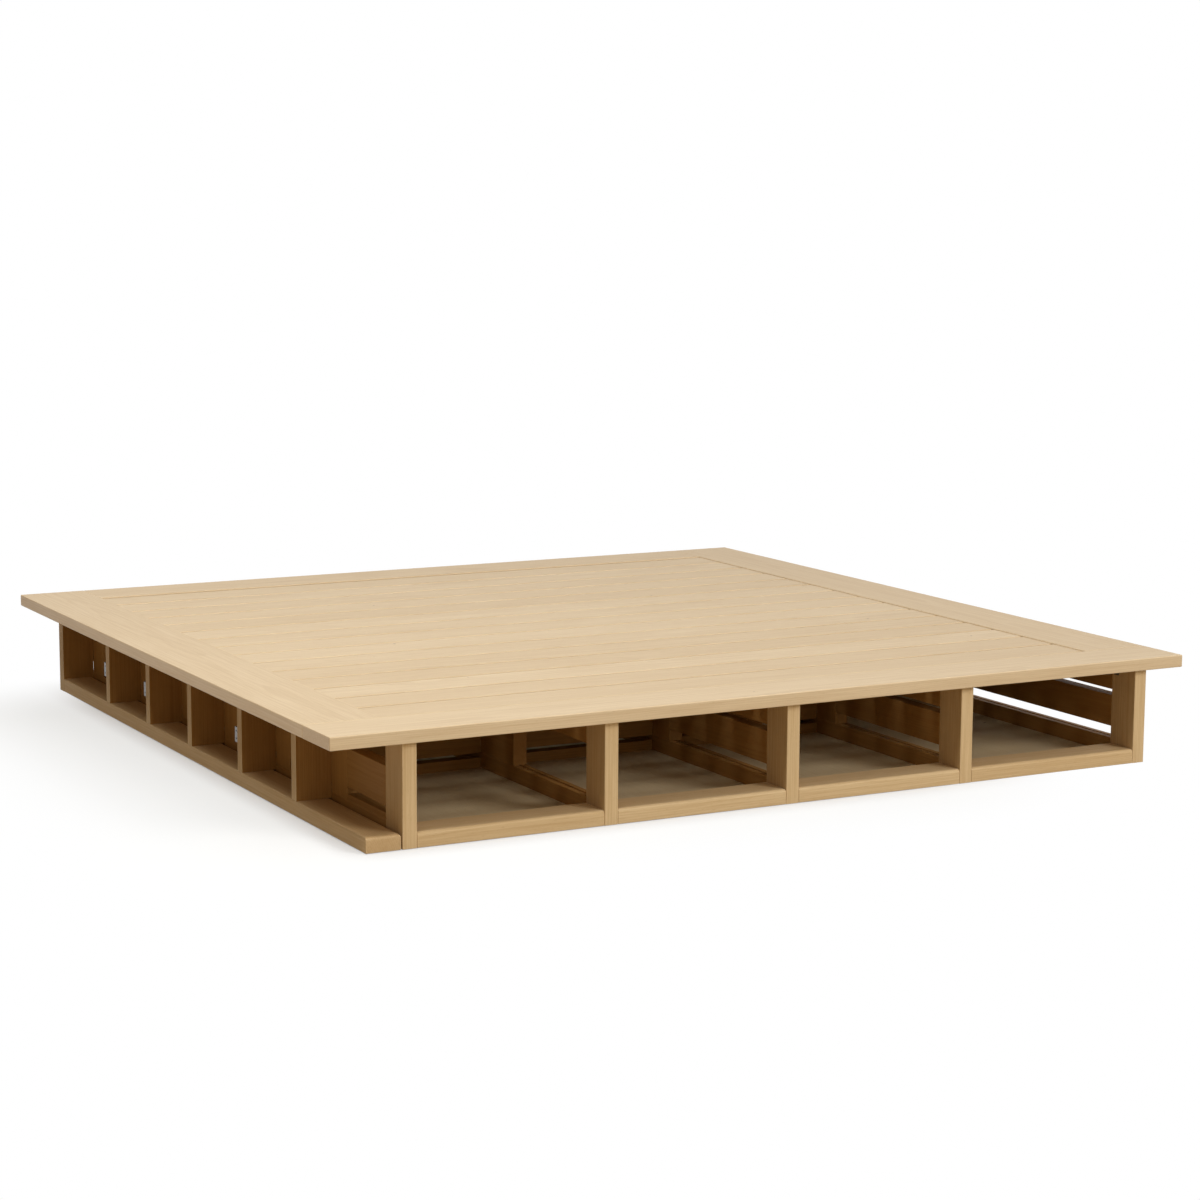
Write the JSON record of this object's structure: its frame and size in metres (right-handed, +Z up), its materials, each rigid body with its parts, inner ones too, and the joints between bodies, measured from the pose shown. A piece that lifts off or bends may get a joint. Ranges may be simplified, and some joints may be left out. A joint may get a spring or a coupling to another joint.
{
  "type": "storage bed frame",
  "caption": "Low platform bed frame in pale wood, with an overhanging deck of boards and slats over open storage bays at the foot and open cubbies along one side.",
  "frame": {"origin": "On the floor, under the centre of the platform.", "axes": "+Z is up. -Y is the foot of the bed, where the storage bays open. -X is the side with the cubbies."},
  "size_m": [2.25, 2.19, 0.265],
  "materials": {
    "platform_wood": "clear satin oil on pale planed wood",
    "base_wood": "clear matt oil on pale planed wood",
    "inner_wood": "planed wood, unfinished inside",
    "dowel_wood": "plain turned dowel",
    "floor_board": "sanded sheet, grey-beige",
    "plate_steel": "zinc-plated sheet",
    "screw_steel": "zinc-plated",
    "felt": "pressed felt",
    "webbing": "woven tape"
  },
  "bodies": {
    "root": {"foot_ledge_board": "platform_wood", "head_ledge_board": "platform_wood", "left_ledge_board": "platform_wood", "right_ledge_board": "platform_wood", "ledge_dowels": "dowel_wood", "wall_1_bottom_rail": "base_wood", "wall_2_bottom_rail": "base_wood", "wall_3_bottom_rail": "base_wood", "wall_4_bottom_rail": "base_wood", "wall_5_bottom_rail": "base_wood", "wall_1_posts": "base_wood", "wall_2_posts": "base_wood", "wall_3_posts": "base_wood", "wall_4_posts": "base_wood", "wall_5_posts": "base_wood", "wall_1_middle_boards": "inner_wood", "wall_2_middle_boards": "inner_wood", "wall_3_middle_boards": "inner_wood", "wall_4_middle_boards": "inner_wood", "wall_5_middle_boards": "inner_wood", "wall_1_top_rail": "inner_wood", "wall_2_top_rail": "inner_wood", "wall_3_top_rail": "inner_wood", "wall_4_top_rail": "inner_wood", "wall_5_top_rail": "inner_wood", "foot_rail_1": "base_wood", "foot_rail_2": "base_wood", "foot_rail_3": "base_wood", "foot_rail_4": "base_wood", "rail_dowels": "dowel_wood", "cross_rails": "inner_wood", "cross_panels": "inner_wood", "head_bottom_rail": "base_wood", "head_middle_board": "base_wood", "head_top_rail": "base_wood", "head_bolts": "screw_steel", "barrel_nuts": "screw_steel", "cubby_plinth": "base_wood", "cubby_head_panel": "base_wood", "divider_dowels": "dowel_wood", "cubby_divider_1": "base_wood", "cubby_divider_2": "base_wood", "cubby_divider_3": "base_wood", "cubby_divider_4": "base_wood", "cubby_divider_5": "base_wood", "floor_panel_1": "floor_board", "floor_panel_2": "floor_board", "floor_panel_3": "floor_board", "floor_panel_4": "floor_board", "inner_floor_panels": "floor_board", "side_cleat": "inner_wood", "cleat_screws": "screw_steel", "slat_bearers": "inner_wood", "slats": "platform_wood", "slat_straps": "webbing", "ledge_angles": "plate_steel", "angle_screws": "screw_steel", "catch_plates": "plate_steel", "catch_screws": "screw_steel", "floor_pads": "felt"}
  },
  "joints": []
}
